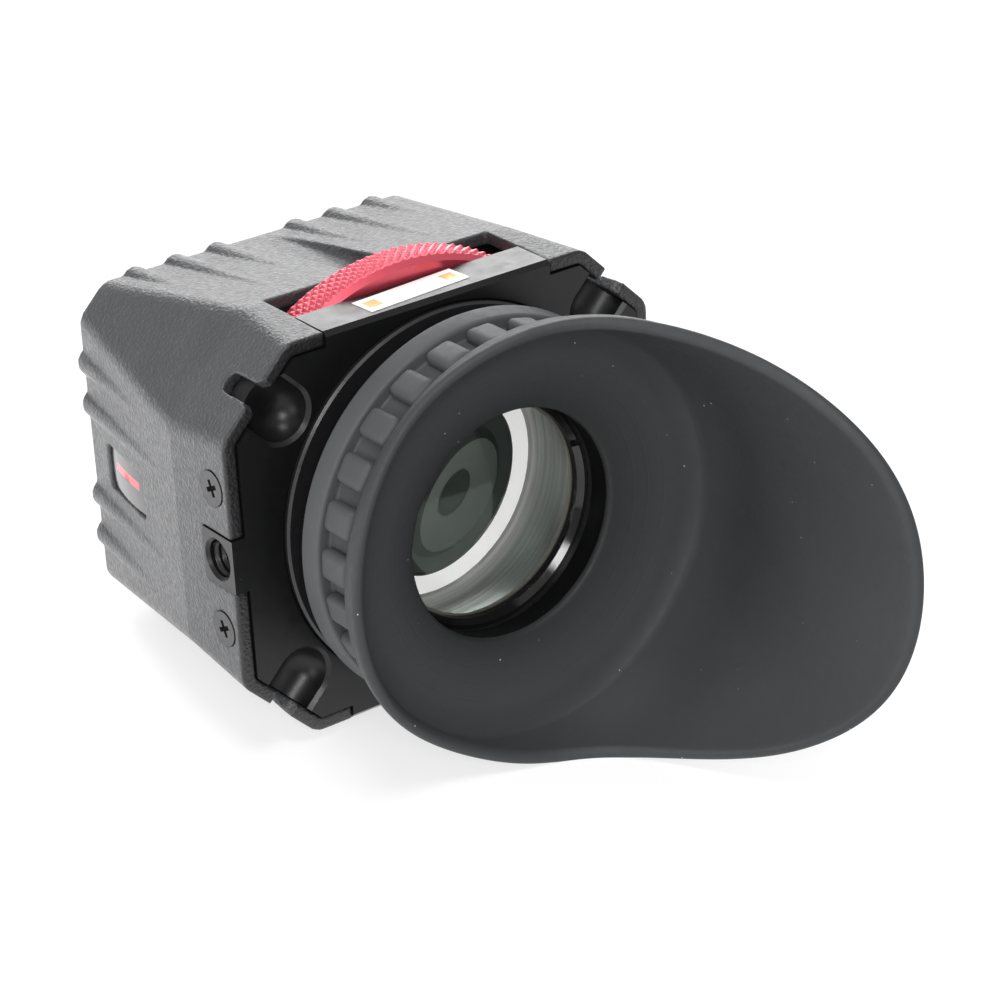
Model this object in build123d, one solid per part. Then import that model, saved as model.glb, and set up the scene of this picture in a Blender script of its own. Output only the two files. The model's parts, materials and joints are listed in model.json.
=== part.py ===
from build123d import *
import os
from math import cos, radians, sin, sqrt

# A viewfinder loupe that fits over a camera's rear screen.
# X is to the right as seen from the eye, Y runs from the eye to the screen, Z is up.
# The origin is the centre of the screen opening, in the plane of the rear rim.
# Millimetres. A depth d is measured from the front plate's face: positive
# towards the screen, negative towards the eye.

# Gaps between faces that almost touch and between parts that fit together,
# and how far cutters run past what they cut
gap = 0.02
fit = 0.05
overcut = 1.0
bevel_overcut = 14.0
chamfer_overlap = 0.1
limit_size = 200.0

# Housing shell: half width, half height, and bevel reach (x + z on the 45 degree bevel)
shell_depth = 56.0
crease_depth = 17.0
rim_setback = 0.25
rim_section = (42.9, 35.0, 64.6)
crease_section = (42.6, 35.2, 62.2)
rear_section = (35.9, 29.5, 60.1)
shell_wall = 2.4
edge_round = 4.0
inner_round = 1.8
seal_width = 1.2
seal_depth = 1.0

# Ribs: place across the face and the depth at which each one fades out
rib_radius = 2.6
rib_height = 1.2
top_ribs = ((8.15, 33.0), (16.4, 25.0), (24.6, 41.0))
side_ribs = ((8.5, 24.0), (16.2, 32.5))

# Wheel slot and thumb scoop, top and bottom
slot_half_width = 22.47
slot_end = 18.0
slot_height = 10.0
scoop_end = 54.0
scoop_widths = (8.6, 6.2)
scoop_depth = 3.7
scoop_wall = 1.3
scoop_height = 12.0
scoop_corner = 1.5

# Side badges
badge_depth = 40.3
badge_size = (16.2, 8.0)
badge_corner = 0.9
badge_recess = 1.2
badge_thickness = 0.6
badge_gap = 0.1
badge_crown = 90.0
badge_rise = 0.4

# Front plate with its bars, tabs, bore and corner sockets
plate_thickness = 8.8
plate_section = (40.25, 32.4, 61.0)
pocket_gap = 0.15
bar_half_width = 22.37
bar_chamfer = 0.8
tab_half_height = 4.7
tab_depth = 8.7
tab_gap = 0.1
tab_reach = 10.0
bore_radius = 33.08
bore_chamfer = 0.3
label_size = (20.4, 5.3)
label_place = (-2.1, 5.1 - shell_depth)
label_angle = 3.8
label_thickness = 0.12
socket_place = (31.5, 23.6)
socket_radius = 4.9
socket_chamfer = 0.7
notch_half_width = 1.8
notch_entry = 2.6
notch_end = 9.8

# Quarter inch accessory threads in the tabs
thread_radius = 3.175
thread_depth = 7.5
thread_place = 4.75
thread_chamfer = 0.55
drill_tip = 1.2

# Screws: thread radius, head radius, total length
side_screw = (1.5, 3.0, 9.0)
side_screw_place = (4.8, 12.6)
bulkhead_screw = (1.25, 2.5, 9.0)
bulkhead_screw_place = (32.6, 21.6)
boss_radius = 3.4
boss_end = 33.0
seat_screw = (1.0, 1.8, 19.0)
seat_screw_circle = 26.3
seat_screw_count = 3
head_rim = 0.2
head_gap = 0.15
screw_tip = 0.4
thread_play = 0.01
shank_play = 0.1
hole_overrun = 0.5

# Cross recess: arm length, arm width and depth as shares of the head's radius, and its turn
recess_shares = (1.0, 0.27, 0.36)
recess_turn = 25.0

# Focusing wheel and what carries it
wheel_radius = 38.1
wheel_front = 9.25
wheel_rear = 16.8
wheel_chamfer = 0.9
wheel_recess_radius = 33.2
wheel_recess_end = 12.7
wheel_play = 0.06
washer_inner = 33.4
washer_outer = 34.8
washer_thickness = 0.35
bulkhead_front = 18.0
bulkhead_rear = 21.0
guide_pin_depth = (bulkhead_front + bulkhead_rear) / 2
bulkhead_gap = 0.3
spring_thickness = 0.25
stop_pin_radius = 1.0
stop_circle = 30.0
stop_angle = 315.0
stop_groove_depth = 1.8
stop_play = 0.15
stop_margin = 4.0
wheel_turn = (-150.0, 120.0)

# Lens barrel
flange_radius = 33.0
flange_front = -0.9
flange_rear = 7.0
flange_chamfer = 0.4
body_radius = 27.5
barrel_rear = 30.0
nose_radius = 24.5
nose_front = -12.0
lens_bore = 20.55
lens_shoulder = 18.55
shoulder_bore = 18.0
shoulder_thickness = 2.0
baffle_radius = 25.0
guide_pin_radius = 1.0
guide_pin_reach = (26.1, 31.0)
guide_pin_angles = (0, 180)
guide_play = 0.05
guide_run_out = 0.2
barrel_travel = (-5.0, 4.0)

# Glass
lens_radius = 20.4
eye_lens_front = -14.1
eye_lens_rear = -0.1
eye_lens_curve = 34.0
field_lens_front = 12.0
field_lens_rear = 18.5
field_lens_curve = 100.0
retainer_front = -10.7
retainer_rear = -8.5
retainer_slope = 0.9
retainer_notch = (3.2, 1.8, 1.4)
retainer_notch_angles = (20, 200)
clear_aperture = 18.9
o_ring_place = (19.95, -8.1)
o_ring_radius = 0.35
spacer_front = 0.4
spacer_rear = 13.2
spacer_bore = 20.0
shim_rear = 13.6
shim_bore = 19.2
stack_play = 0.05

# Eyecup seat, insert and rubber cup
seat_radius = 28.0
seat_front = -16.0
seat_bore = 20.2
seat_lip = 28.8
seat_lip_thickness = 1.0
seat_play = 0.06
nose_play = 0.1
cup_gap = 0.1
insert_radius = 30.0
insert_front = -14.9
collar_rear = -6.2
collar_front = -10.1
collar_radii = (34.1, 33.5)
neck_radius = 31.2
peg_count = 25
peg_first = 4.2
peg_size = (5.2, 7.4)
peg_radius = 33.3
peg_root = 1.0
peg_round = 1.2
cup_aperture = 19.9
cup_floor = -17.2
cup_start = -17.5
dish_edge = (27.5, -19.3)
flare_middle = (34.9, -20.2)
flare_end = (37.1, -23.0)
flare_inset = (0.3, 1.0)
rubber_wall = 2.2

# Cup wall past the flare: reach towards the eye, half width and half height of the outside
cup_sections = (
    (23.0, 37.1, 37.1),
    (28.0, 38.0, 38.8),
    (39.0, 36.3, 41.4),
    (58.0, 34.3, 45.4),
    (84.0, 34.6, 47.9),
)

# Rim seen from above: place across the cup and reach towards the eye
rim_curve = (
    (-42.0, 27.5),
    (-22.0, 24.6),
    (-6.6, 27.8),
    (10.4, 37.2),
    (26.0, 64.5),
    (33.0, 76.2),
    (37.0, 79.5),
    (44.0, 80.0),
)
rim_cut_reach = 100.0
rim_cut_half_height = 60.0


def y_at(d):
    """The model's Y for a depth behind the front plate's face."""
    return d - shell_depth


def cross_plane(d):
    """A plane across the optical axis, facing the eye, with its own axes along X and Z."""
    return Plane(origin=(0, y_at(d), 0), x_dir=(1, 0, 0), z_dir=(0, -1, 0))


def slab(sketch, d_near, d_far):
    """A sketch given thickness along the optical axis."""
    return extrude(cross_plane(d_far) * sketch, d_far - d_near)


def profile_points(profile):
    """Points in the XY plane for (radius, depth) pairs."""
    return [(r, y_at(d)) for r, d in profile]


def turned(profile):
    """A body of revolution round the optical axis, from (radius, depth) corners."""
    return revolve(make_face(Polyline(*profile_points(profile), close=True)), Axis.Y)


def ring(inner, outer, d_near, d_far):
    return turned([(inner, d_near), (outer, d_near), (outer, d_far), (inner, d_far)])


def octagon(width, height, reach, rounding=0):
    """A rectangle with 45 degree bevels, by its half width, half height and bevel reach."""
    side, top = reach - width, reach - height
    corners = [
        (width, -side), (width, side), (top, height), (-top, height),
        (-width, side), (-width, -side), (-top, -height), (top, -height),
    ]
    outline = make_face(Polyline(*corners, close=True))
    return fillet(outline.vertices(), rounding) if rounding else outline


def inset(section, wall):
    width, height, reach = section
    return width - wall, height - wall, reach - wall * sqrt(2)


def section_at(d):
    """The shell's outer section behind the crease."""
    part = (d - crease_depth) / (shell_depth - crease_depth)
    return tuple(a + (b - a) * part for a, b in zip(crease_section, rear_section))


def four_corners(place):
    return [(place[0] * sx, place[1] * sz) for sx in (-1, 1) for sz in (-1, 1)]


def around(count, radius, first=90.0):
    """Places spaced evenly on a circle round the axis."""
    angles = [radians(first + 360.0 * i / count) for i in range(count)]
    return [(radius * cos(a), radius * sin(a)) for a in angles]


def rod(place, radius, d_near, d_far):
    """A cylinder along the optical axis at an (x, z) place."""
    return slab(Pos(*place) * Circle(radius), d_near, d_far)


def top_and_bottom(solid):
    return solid + mirror(solid, Plane.XY)


def left_and_right(solid):
    return solid + mirror(solid, Plane.YZ)


# Housing


def rib(start, end, outward):
    """A round bar that leaves the rear edge and sinks into the surface towards the front."""
    lift = Vector(*outward) * rib_height
    sink = Vector(*outward) * -rib_radius
    tail, tip = Vector(*start) + sink + lift, Vector(*end) + sink
    path = tip - tail
    return Plane(origin=tail, z_dir=path) * Cylinder(
        rib_radius, path.length, align=(Align.CENTER, Align.CENTER, Align.MIN)
    )


def shell_ribs():
    """Ribs on all four faces, longest in the middle of each group."""
    bars = Part()
    tail = shell_depth + overcut
    tail_width, tail_height, _ = section_at(tail)
    for x, tip in top_ribs:
        bar = rib((x, y_at(tail), tail_height), (x, y_at(tip), section_at(tip)[1]), (0, 0, 1))
        bars += left_and_right(top_and_bottom(bar))
    for z, tip in side_ribs:
        bar = rib((tail_width, y_at(tail), z), (section_at(tip)[0], y_at(tip), z), (1, 0, 0))
        bars += left_and_right(top_and_bottom(bar))
    return bars


def scoop(grow):
    """The thumb scoop's cutter, or with grow the block that keeps a wall under it."""
    sections = []
    for d, width, depth in (
        (slot_end - overcut, scoop_widths[0], scoop_depth),
        (scoop_end, scoop_widths[1], 0.0),
    ):
        middle = section_at(d)[1] - depth - grow + scoop_height / 2
        outline = RectangleRounded(width + 2 * grow, scoop_height, scoop_corner)
        sections.append(cross_plane(d) * Pos(0, middle) * outline)
    return top_and_bottom(loft(sections, ruled=True))


def corner_notches():
    """Slots through the four bevels beside the ball sockets, with a wider mouth."""
    length = notch_end - notch_half_width
    outline = Pos(0, -length / 2) * Rectangle(2 * notch_half_width, length)
    outline += Pos(0, -length) * Circle(notch_half_width)
    outline += Circle(notch_entry)
    cutters = Part()
    for x, z in four_corners(socket_place):
        outward = Vector(1 if x > 0 else -1, 0, 1 if z > 0 else -1)
        plane = Plane(origin=(x, y_at(0), z), x_dir=(0, -1, 0), z_dir=outward)
        cutters += extrude(plane * Rot(0, 0, -90) * outline, bevel_overcut)
    return cutters


def side_plane(sign):
    """A plane lying on the flared side at the badge, facing out."""
    slope = (crease_section[0] - rear_section[0]) / (shell_depth - crease_depth)
    place = (sign * section_at(badge_depth)[0], y_at(badge_depth), 0)
    return Plane(origin=place, x_dir=(slope * -sign, 1, 0), z_dir=(sign, slope, 0))


def badge_recesses():
    cutters = Part()
    for sign in (-1, 1):
        outline = side_plane(sign) * RectangleRounded(*badge_size, badge_corner)
        cutters += extrude(outline, -badge_recess) + extrude(outline, overcut)
    return cutters


def rim_band(width, d_near, d_far):
    """A band of the given width along the middle of the rear rim."""
    outer, inner = (
        octagon(*inset(rear_section, wall), edge_round - wall)
        for wall in ((shell_wall - width) / 2, (shell_wall + width) / 2)
    )
    return slab(outer - inner, d_near, d_far)


def seal_groove():
    return rim_band(seal_width, shell_depth - seal_depth, shell_depth)


def shell_outside():
    front, crease, rear = (
        cross_plane(d) * octagon(*section, edge_round)
        for d, section in (
            (rim_setback, rim_section),
            (crease_depth, crease_section),
            (shell_depth, rear_section),
        )
    )
    body = loft([front, crease], ruled=True) + loft([crease, rear], ruled=True)
    limits = slab(Rectangle(limit_size, limit_size), rim_setback, shell_depth)
    return (body + shell_ribs()) & limits


def shell_cavity():
    """The hollow: a straight pocket for the plate, then the flared chamber."""
    front, crease, rear = (
        cross_plane(d) * octagon(*inset(section, shell_wall), inner_round)
        for d, section in (
            (plate_thickness, section_before_crease(plate_thickness)),
            (crease_depth, crease_section),
            (shell_depth, rear_section),
        )
    )
    chamber = loft([front, crease], ruled=True) + loft([crease, rear], ruled=True)
    outline = octagon(*inset(plate_section, -pocket_gap))
    pocket = slab(outline, -overcut, plate_thickness + pocket_gap)
    return chamber + pocket


def section_before_crease(d):
    part = (d - rim_setback) / (crease_depth - rim_setback)
    return tuple(a + (b - a) * part for a, b in zip(rim_section, crease_section))


def make_housing_shell():
    shell = shell_outside() - shell_cavity()
    lining = scoop(scoop_wall) & shell_cavity()
    lining &= slab(Rectangle(limit_size, limit_size), bulkhead_rear, scoop_end)
    shell += lining
    for place in four_corners(bulkhead_screw_place):
        boss = rod(place, boss_radius, bulkhead_rear, boss_end)
        shell += boss & shell_outside()
    shell -= scoop(0)
    slot = Pos(0, rim_section[1]) * Rectangle(2 * slot_half_width, slot_height)
    shell -= top_and_bottom(slab(slot, 0, slot_end))
    tab = Pos(rim_section[0], 0) * Rectangle(tab_reach, 2 * (tab_half_height + tab_gap))
    shell -= left_and_right(slab(tab, 0, tab_depth + tab_gap))
    shell -= corner_notches() + badge_recesses() + seal_groove() + side_screw_holes()
    for place in four_corners(bulkhead_screw_place):
        end = bulkhead_front + bulkhead_screw[2] + hole_overrun
        shell -= rod(place, bulkhead_screw[0] + thread_play, bulkhead_rear, end)
    return shell


def make_badge(sign):
    """A thin plate with a shallow dome, lying in its recess."""
    length, height = badge_size
    size = (length - 2 * badge_gap, height - 2 * badge_gap)
    outline = side_plane(sign) * RectangleRounded(*size, badge_corner - badge_gap)
    plate = extrude(outline, -badge_recess)
    base = side_plane(sign).offset(badge_thickness - badge_recess)
    dome = base * Pos(0, 0, badge_rise - badge_crown) * Sphere(badge_crown)
    return plate & dome


def make_rear_seal():
    return rim_band(seal_width - 2 * fit, shell_depth - seal_depth + gap, shell_depth - gap)


# Screws


def side_axis(sign, depth, z):
    """A plane on the flat side, facing out, that a side screw or thread stands on."""
    place = (sign * rim_section[0], y_at(depth), z)
    return Plane(origin=place, x_dir=(0, 1, 0), z_dir=(sign, 0, 0))


def countersunk(radius, head, length):
    """A countersunk screw body whose head's top is at z = 0 and whose tip points down."""
    cone = head - radius
    profile = [
        (0, 0), (head, 0), (head, -head_rim), (radius, -head_rim - cone),
        (radius, screw_tip - length), (radius - screw_tip, -length), (0, -length),
    ]
    corners = [(r, 0, z) for r, z in profile]
    return revolve(make_face(Polyline(*corners, close=True)), Axis.Z)


def cross_recess(head):
    """The two crossed slots of a cross-head driver recess."""
    length, width, depth = (share * head for share in recess_shares)
    slot = Box(length, width, 2 * depth)
    return Rot(0, 0, recess_turn) * (slot + Rot(0, 0, 90) * slot)


def screw(radius, head, length):
    return countersunk(radius, head, length) - cross_recess(head)


def side_screw_planes():
    depth, z = side_screw_place
    return [side_axis(sx, depth, sz * z) for sx in (-1, 1) for sz in (-1, 1)]


def side_screw_holes():
    """Countersunk clearance holes in the shell wall."""
    radius, head, length = side_screw
    sink = countersunk(radius + shank_play, head + head_gap, length + hole_overrun)
    sink += Cylinder(head + head_gap, 2 * overcut, align=(Align.CENTER, Align.CENTER, Align.MIN))
    cutters = Part()
    for plane in side_screw_planes():
        cutters += plane * sink
    return cutters


def make_side_screws():
    return Compound(children=[plane * screw(*side_screw) for plane in side_screw_planes()])


def make_bulkhead_screws():
    screws = []
    for x, z in four_corners(bulkhead_screw_place):
        plane = Plane(origin=(x, y_at(bulkhead_front), z), x_dir=(1, 0, 0), z_dir=(0, -1, 0))
        screws.append(plane * screw(*bulkhead_screw))
    return Compound(children=screws)


def make_seat_screws():
    screws = []
    for x, z in around(seat_screw_count, seat_screw_circle):
        plane = Plane(origin=(x, y_at(seat_front), z), x_dir=(1, 0, 0), z_dir=(0, -1, 0))
        screws.append(plane * screw(*seat_screw))
    return Compound(children=screws)


# Front plate


def plate_outline():
    outline = octagon(*plate_section)
    outline += Rectangle(2 * bar_half_width, 2 * rim_section[1])
    outline += Rectangle(2 * rim_section[0], 2 * tab_half_height)
    return outline


def ball_sockets():
    """Round-bottomed channels that run out through the bevels, with a chamfered edge."""
    cutters = Part()
    for x, z in four_corners(socket_place):
        outward = Vector(1 if x > 0 else -1, 0, 1 if z > 0 else -1)
        heading = 45 * (1 if x > 0 else 3) * (1 if z > 0 else -1)
        cutters += Pos(x, y_at(0), z) * Sphere(socket_radius)
        channel = Plane(origin=(x, y_at(0), z), z_dir=outward)
        cutters += channel * Cylinder(
            socket_radius, bevel_overcut, align=(Align.CENTER, Align.CENTER, Align.MIN)
        )
        wide, narrow = (
            cross_plane(d) * Pos(x, z) * Rot(0, 0, heading) * keyhole(radius)
            for d, radius in (
                (-chamfer_overlap, socket_radius + socket_chamfer),
                (socket_chamfer, socket_radius - chamfer_overlap),
            )
        )
        cutters += loft([wide, narrow], ruled=True)
    return cutters


def keyhole(radius):
    """A half round end with straight sides that run out along local +X."""
    return Circle(radius) + Pos(bevel_overcut / 2, 0) * Rectangle(bevel_overcut, 2 * radius)


def make_front_plate():
    plate = slab(plate_outline(), 0, plate_thickness)
    for sign in (-1, 1):
        bar_edges = plate.edges().filter_by(Axis.X).sort_by(lambda e: e.center().Z * sign)[-2:]
        plate = chamfer(bar_edges.sort_by(Axis.Y)[0], bar_chamfer)
    plate -= slab(Circle(bore_radius), -overcut, plate_thickness + overcut)
    mouth = (bore_radius + bore_chamfer + chamfer_overlap, -chamfer_overlap)
    plate -= turned([(0, -chamfer_overlap), mouth, (bore_radius, bore_chamfer), (0, bore_chamfer)])
    plate -= ball_sockets()
    hole_length = side_screw[2] + hole_overrun
    hole = Cylinder(
        side_screw[0] + thread_play, hole_length, align=(Align.CENTER, Align.CENTER, Align.MAX)
    )
    for plane in side_screw_planes():
        plate -= plane * hole
    for sign in (-1, 1):
        plate -= side_axis(sign, thread_place, 0) * thread_hole()
    return plate


def thread_hole():
    """The quarter inch hole, with a chamfered mouth."""
    mouth = thread_radius + thread_chamfer
    profile = [
        (0, 0), (mouth, 0), (thread_radius, -thread_chamfer),
        (thread_radius, -thread_depth), (0, -thread_depth - drill_tip),
    ]
    return revolve(make_face(Polyline(*[(r, 0, z) for r, z in profile], close=True)), Axis.Z)


def make_top_label():
    """A small paper label on the top bar, set slightly askew."""
    place = Pos(*label_place, rim_section[1]) * Rot(0, 0, label_angle)
    return extrude(place * Rectangle(*label_size), label_thickness)


# Wheel and its bearing


def make_diopter_wheel():
    """The knurled ring, with a recess for the barrel's flange and a groove for the stop pin."""
    bore = body_radius + wheel_play
    edge = wheel_radius - wheel_chamfer
    wheel = turned([
        (bore, wheel_recess_end), (wheel_recess_radius, wheel_recess_end),
        (wheel_recess_radius, wheel_front), (edge, wheel_front),
        (wheel_radius, wheel_front + wheel_chamfer), (wheel_radius, wheel_rear - wheel_chamfer),
        (edge, wheel_rear), (bore, wheel_rear),
    ])
    return wheel - stop_groove()


def stop_groove():
    """An open ring sector in the wheel's rear face, as long as the wheel's turn."""
    height = stop_groove_depth + overcut
    middle = wheel_rear - stop_groove_depth + height / 2
    outline = Rectangle(2 * (stop_pin_radius + stop_play), height)
    start = wheel_turn[0] - stop_angle - stop_margin
    sweep = wheel_turn[1] - wheel_turn[0] + 2 * stop_margin
    face = Rot(0, start, 0) * Pos(stop_circle, y_at(middle)) * outline
    return revolve(face, Axis.Y, sweep)


def stop_place():
    a = radians(stop_angle)
    return stop_circle * cos(a), stop_circle * sin(a)


def make_bulkhead():
    width, height, reach = inset(section_at(bulkhead_rear), shell_wall + bulkhead_gap)
    plate = slab(octagon(width, height, reach, inner_round), bulkhead_front, bulkhead_rear)
    near, far = bulkhead_front - overcut, bulkhead_rear + overcut
    plate -= slab(Circle(body_radius + wheel_play), near, far)
    notch_floor = section_at(slot_end)[1] - scoop_depth - scoop_wall - bulkhead_gap
    notch_width = scoop_widths[0] + 2 * (scoop_wall + bulkhead_gap)
    notch = Pos(0, notch_floor + slot_height / 2) * Rectangle(notch_width, slot_height)
    plate -= top_and_bottom(slab(notch, near, far))
    for x, z in four_corners(bulkhead_screw_place):
        plane = Plane(origin=(x, y_at(bulkhead_front), z), x_dir=(1, 0, 0), z_dir=(0, -1, 0))
        radius, head, length = bulkhead_screw
        plate -= plane * countersunk(radius + shank_play, head + fit, length)
    plate -= rod(stop_place(), stop_pin_radius, near, far)
    for angle in guide_pin_angles:
        plate -= guide_pin(angle)
    return plate


def make_front_thrust_washer():
    near = plate_thickness + gap
    return ring(washer_inner, washer_outer, near, near + washer_thickness)


def make_rear_thrust_washer():
    near = wheel_rear + fit
    return ring(washer_inner, washer_outer, near, near + washer_thickness)


def make_spring_washer():
    """A dished spring washer that takes up the wheel's end play."""
    near = wheel_rear + fit + washer_thickness + gap
    far = bulkhead_front - gap
    return turned([
        (washer_inner, far - spring_thickness), (washer_outer, near),
        (washer_outer, near + spring_thickness), (washer_inner, far),
    ])


def guide_pin(angle):
    """A radial pin at mid thickness of the bulkhead, reaching into the barrel's slot."""
    inner, outer = guide_pin_reach
    a = radians(angle)
    outward = Vector(cos(a), 0, sin(a))
    start = outward * inner + Vector(0, y_at(guide_pin_depth), 0)
    return Plane(origin=start, z_dir=outward) * Cylinder(
        guide_pin_radius, outer - inner, align=(Align.CENTER, Align.CENTER, Align.MIN)
    )


def make_guide_pins():
    return Compound(children=[guide_pin(angle) for angle in guide_pin_angles])


def make_stop_pin():
    near = wheel_rear - stop_groove_depth + stop_play
    return rod(stop_place(), stop_pin_radius, near, bulkhead_rear)


# Barrel and glass


def make_lens_barrel():
    barrel = turned([
        (nose_radius, nose_front), (nose_radius, flange_front),
        (flange_radius - flange_chamfer, flange_front), (flange_radius, flange_front + flange_chamfer),
        (flange_radius, flange_rear), (body_radius, flange_rear), (body_radius, barrel_rear),
        (baffle_radius, barrel_rear), (shoulder_bore, lens_shoulder + shoulder_thickness),
        (shoulder_bore, lens_shoulder), (lens_bore, lens_shoulder), (lens_bore, nose_front),
    ])
    for angle in guide_pin_angles:
        barrel -= Rot(0, -angle, 0) * guide_slot()
    hole_end = seat_front + seat_screw[2] + hole_overrun
    for place in around(seat_screw_count, seat_screw_circle):
        barrel -= rod(place, seat_screw[0] + thread_play, flange_front, hole_end)
    return barrel


def guide_slot():
    """A slot along the barrel's body that lets it slide past a guide pin but not turn."""
    half = guide_pin_radius + guide_play
    near = guide_pin_depth + barrel_travel[0] - half - guide_run_out
    far = guide_pin_depth + barrel_travel[1] + half + guide_run_out
    floor = guide_pin_reach[0] - guide_run_out
    height = body_radius + overcut - floor
    return Pos(floor + height / 2, y_at((near + far) / 2), 0) * Box(height, far - near, 2 * half)


def lens(pole, curve, rear):
    """A plano-convex lens: a curved face towards the eye, a flat rear face, a ground edge."""
    def point(r):
        return r, y_at(pole) + curve - sqrt(curve**2 - r**2)

    face = ThreePointArc(point(0), point(lens_radius / 2), point(lens_radius))
    back = Line((0, y_at(rear)), (lens_radius, y_at(rear)))
    outline = Curve() + [face, Line(face @ 1, back @ 1), back, Line(face @ 0, back @ 0)]
    return revolve(make_face(outline), Axis.Y)


def make_eye_lens():
    return lens(eye_lens_front, eye_lens_curve, eye_lens_rear)


def make_field_lens():
    return lens(field_lens_front, field_lens_curve, field_lens_rear)


def make_lens_spacer():
    return ring(spacer_bore, lens_bore - stack_play, spacer_front, spacer_rear)


def make_lens_shim():
    return ring(shim_bore, lens_bore - stack_play, spacer_rear, shim_rear)


def make_lens_retainer():
    """A threaded ring with a sloped inner lip and two spanner notches."""
    outer = lens_bore - stack_play
    body = turned([
        (clear_aperture + retainer_slope, retainer_front), (outer, retainer_front),
        (outer, retainer_rear), (clear_aperture, retainer_rear),
        (clear_aperture, retainer_front + retainer_slope),
    ])
    place = Pos((clear_aperture + lens_bore) / 2, y_at(retainer_front), 0)
    for angle in retainer_notch_angles:
        body -= Rot(0, -angle, 0) * place * Box(*retainer_notch)
    return body


def make_lens_o_ring():
    radius, depth = o_ring_place
    return Pos(0, y_at(depth), 0) * Rot(90, 0, 0) * Torus(radius, o_ring_radius)


# Eyecup


def make_eyecup_seat():
    """The ring on the barrel's nose that the eyecup turns on."""
    sleeve = nose_radius + nose_play
    lip_rear = seat_front + seat_lip_thickness
    seat = turned([
        (seat_bore, seat_front), (seat_lip, seat_front), (seat_lip, lip_rear),
        (seat_radius, lip_rear), (seat_radius, flange_front - gap), (sleeve, flange_front - gap),
        (sleeve, nose_front - fit), (seat_bore, nose_front - fit),
    ])
    for x, z in around(seat_screw_count, seat_screw_circle):
        plane = Plane(origin=(x, y_at(seat_front), z), x_dir=(1, 0, 0), z_dir=(0, -1, 0))
        radius, head, length = seat_screw
        seat -= plane * countersunk(radius + fit, head + fit, length)
    return seat


def make_eyecup_insert():
    return ring(seat_radius + seat_play, insert_radius, insert_front, collar_rear)


def cup_base():
    """The collar, neck, dish and round flare, all turned about the axis."""
    rear_radius, front_radius = collar_radii
    outside = [
        (insert_radius, collar_rear), (rear_radius, collar_rear), (front_radius, collar_front),
        (neck_radius, collar_front), (neck_radius, cup_start),
    ]
    inner_end = (flare_end[0] - rubber_wall, flare_end[1])
    inner_middle = (flare_middle[0] - rubber_wall - flare_inset[0], flare_middle[1] - flare_inset[1])
    inside = [
        dish_edge, (cup_aperture, cup_floor), (cup_aperture, seat_front - cup_gap),
        (insert_radius, seat_front - cup_gap), (insert_radius, collar_rear),
    ]
    outline = Curve() + [
        Polyline(*profile_points(outside)),
        Spline(*profile_points([outside[-1], flare_middle, flare_end])),
        Line(*profile_points([flare_end, inner_end])),
        Spline(*profile_points([inner_end, inner_middle, dish_edge])),
        Polyline(*profile_points(inside)),
    ]
    return revolve(make_face(outline), Axis.Y)


def cup_wall():
    """The oval wall from the flare to the rim."""
    outside, inside = (
        loft([cross_plane(-reach) * oval(x - wall, z - wall) for reach, x, z in cup_sections])
        for wall in (0, rubber_wall)
    )
    return outside - inside - beyond_rim()


def oval(x, z):
    """A circle or an upright ellipse, which both start at the top."""
    return Rot(0, 0, 90) * (Circle(x) if x == z else Ellipse(z, x))


def beyond_rim():
    """Everything on the eye's side of the rim curve."""
    points = [(x, y_at(-reach)) for x, reach in rim_curve]
    left, right = points[0], points[-1]
    far = y_at(-rim_cut_reach)
    outline = Curve() + [Spline(*points), Polyline(right, (right[0], far), (left[0], far), left)]
    return extrude(make_face(outline), rim_cut_half_height, both=True)


def grip_pegs():
    """Rounded blocks round the neck."""
    width, length = peg_size
    height = peg_radius - neck_radius + peg_root
    block = Box(height, length, width)
    block = fillet(block.edges().filter_by(Axis.Y), peg_round)
    middle = (collar_front + cup_start) / 2
    place = Pos(neck_radius - peg_root + height / 2, y_at(middle), 0)
    pegs = Part()
    for i in range(peg_count):
        pegs += Rot(0, -peg_first - 360.0 * i / peg_count, 0) * place * block
    return pegs


def make_eyecup():
    return cup_base() + cup_wall() + grip_pegs()


parts = {
    "housing_shell": make_housing_shell,
    "badge_left": lambda: make_badge(-1),
    "badge_right": lambda: make_badge(1),
    "rear_seal": make_rear_seal,
    "side_screws": make_side_screws,
    "front_plate": make_front_plate,
    "guide_pins": make_guide_pins,
    "top_label": make_top_label,
    "bulkhead": make_bulkhead,
    "bulkhead_screws": make_bulkhead_screws,
    "stop_pin": make_stop_pin,
    "front_thrust_washer": make_front_thrust_washer,
    "rear_thrust_washer": make_rear_thrust_washer,
    "spring_washer": make_spring_washer,
    "diopter_wheel": make_diopter_wheel,
    "lens_barrel": make_lens_barrel,
    "eye_lens": make_eye_lens,
    "field_lens": make_field_lens,
    "lens_spacer": make_lens_spacer,
    "lens_shim": make_lens_shim,
    "lens_retainer": make_lens_retainer,
    "lens_o_ring": make_lens_o_ring,
    "eyecup_seat": make_eyecup_seat,
    "seat_screws": make_seat_screws,
    "eyecup_insert": make_eyecup_insert,
    "eyecup": make_eyecup,
}

os.makedirs("parts", exist_ok=True)
for name, make in parts.items():
    export_step(make(), f"parts/{name}.step")
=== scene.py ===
import json
from math import cos, pi, radians, sin, tau

import bmesh
import bpy
import numpy as np
from mathutils import Euler, Matrix, Vector


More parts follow.
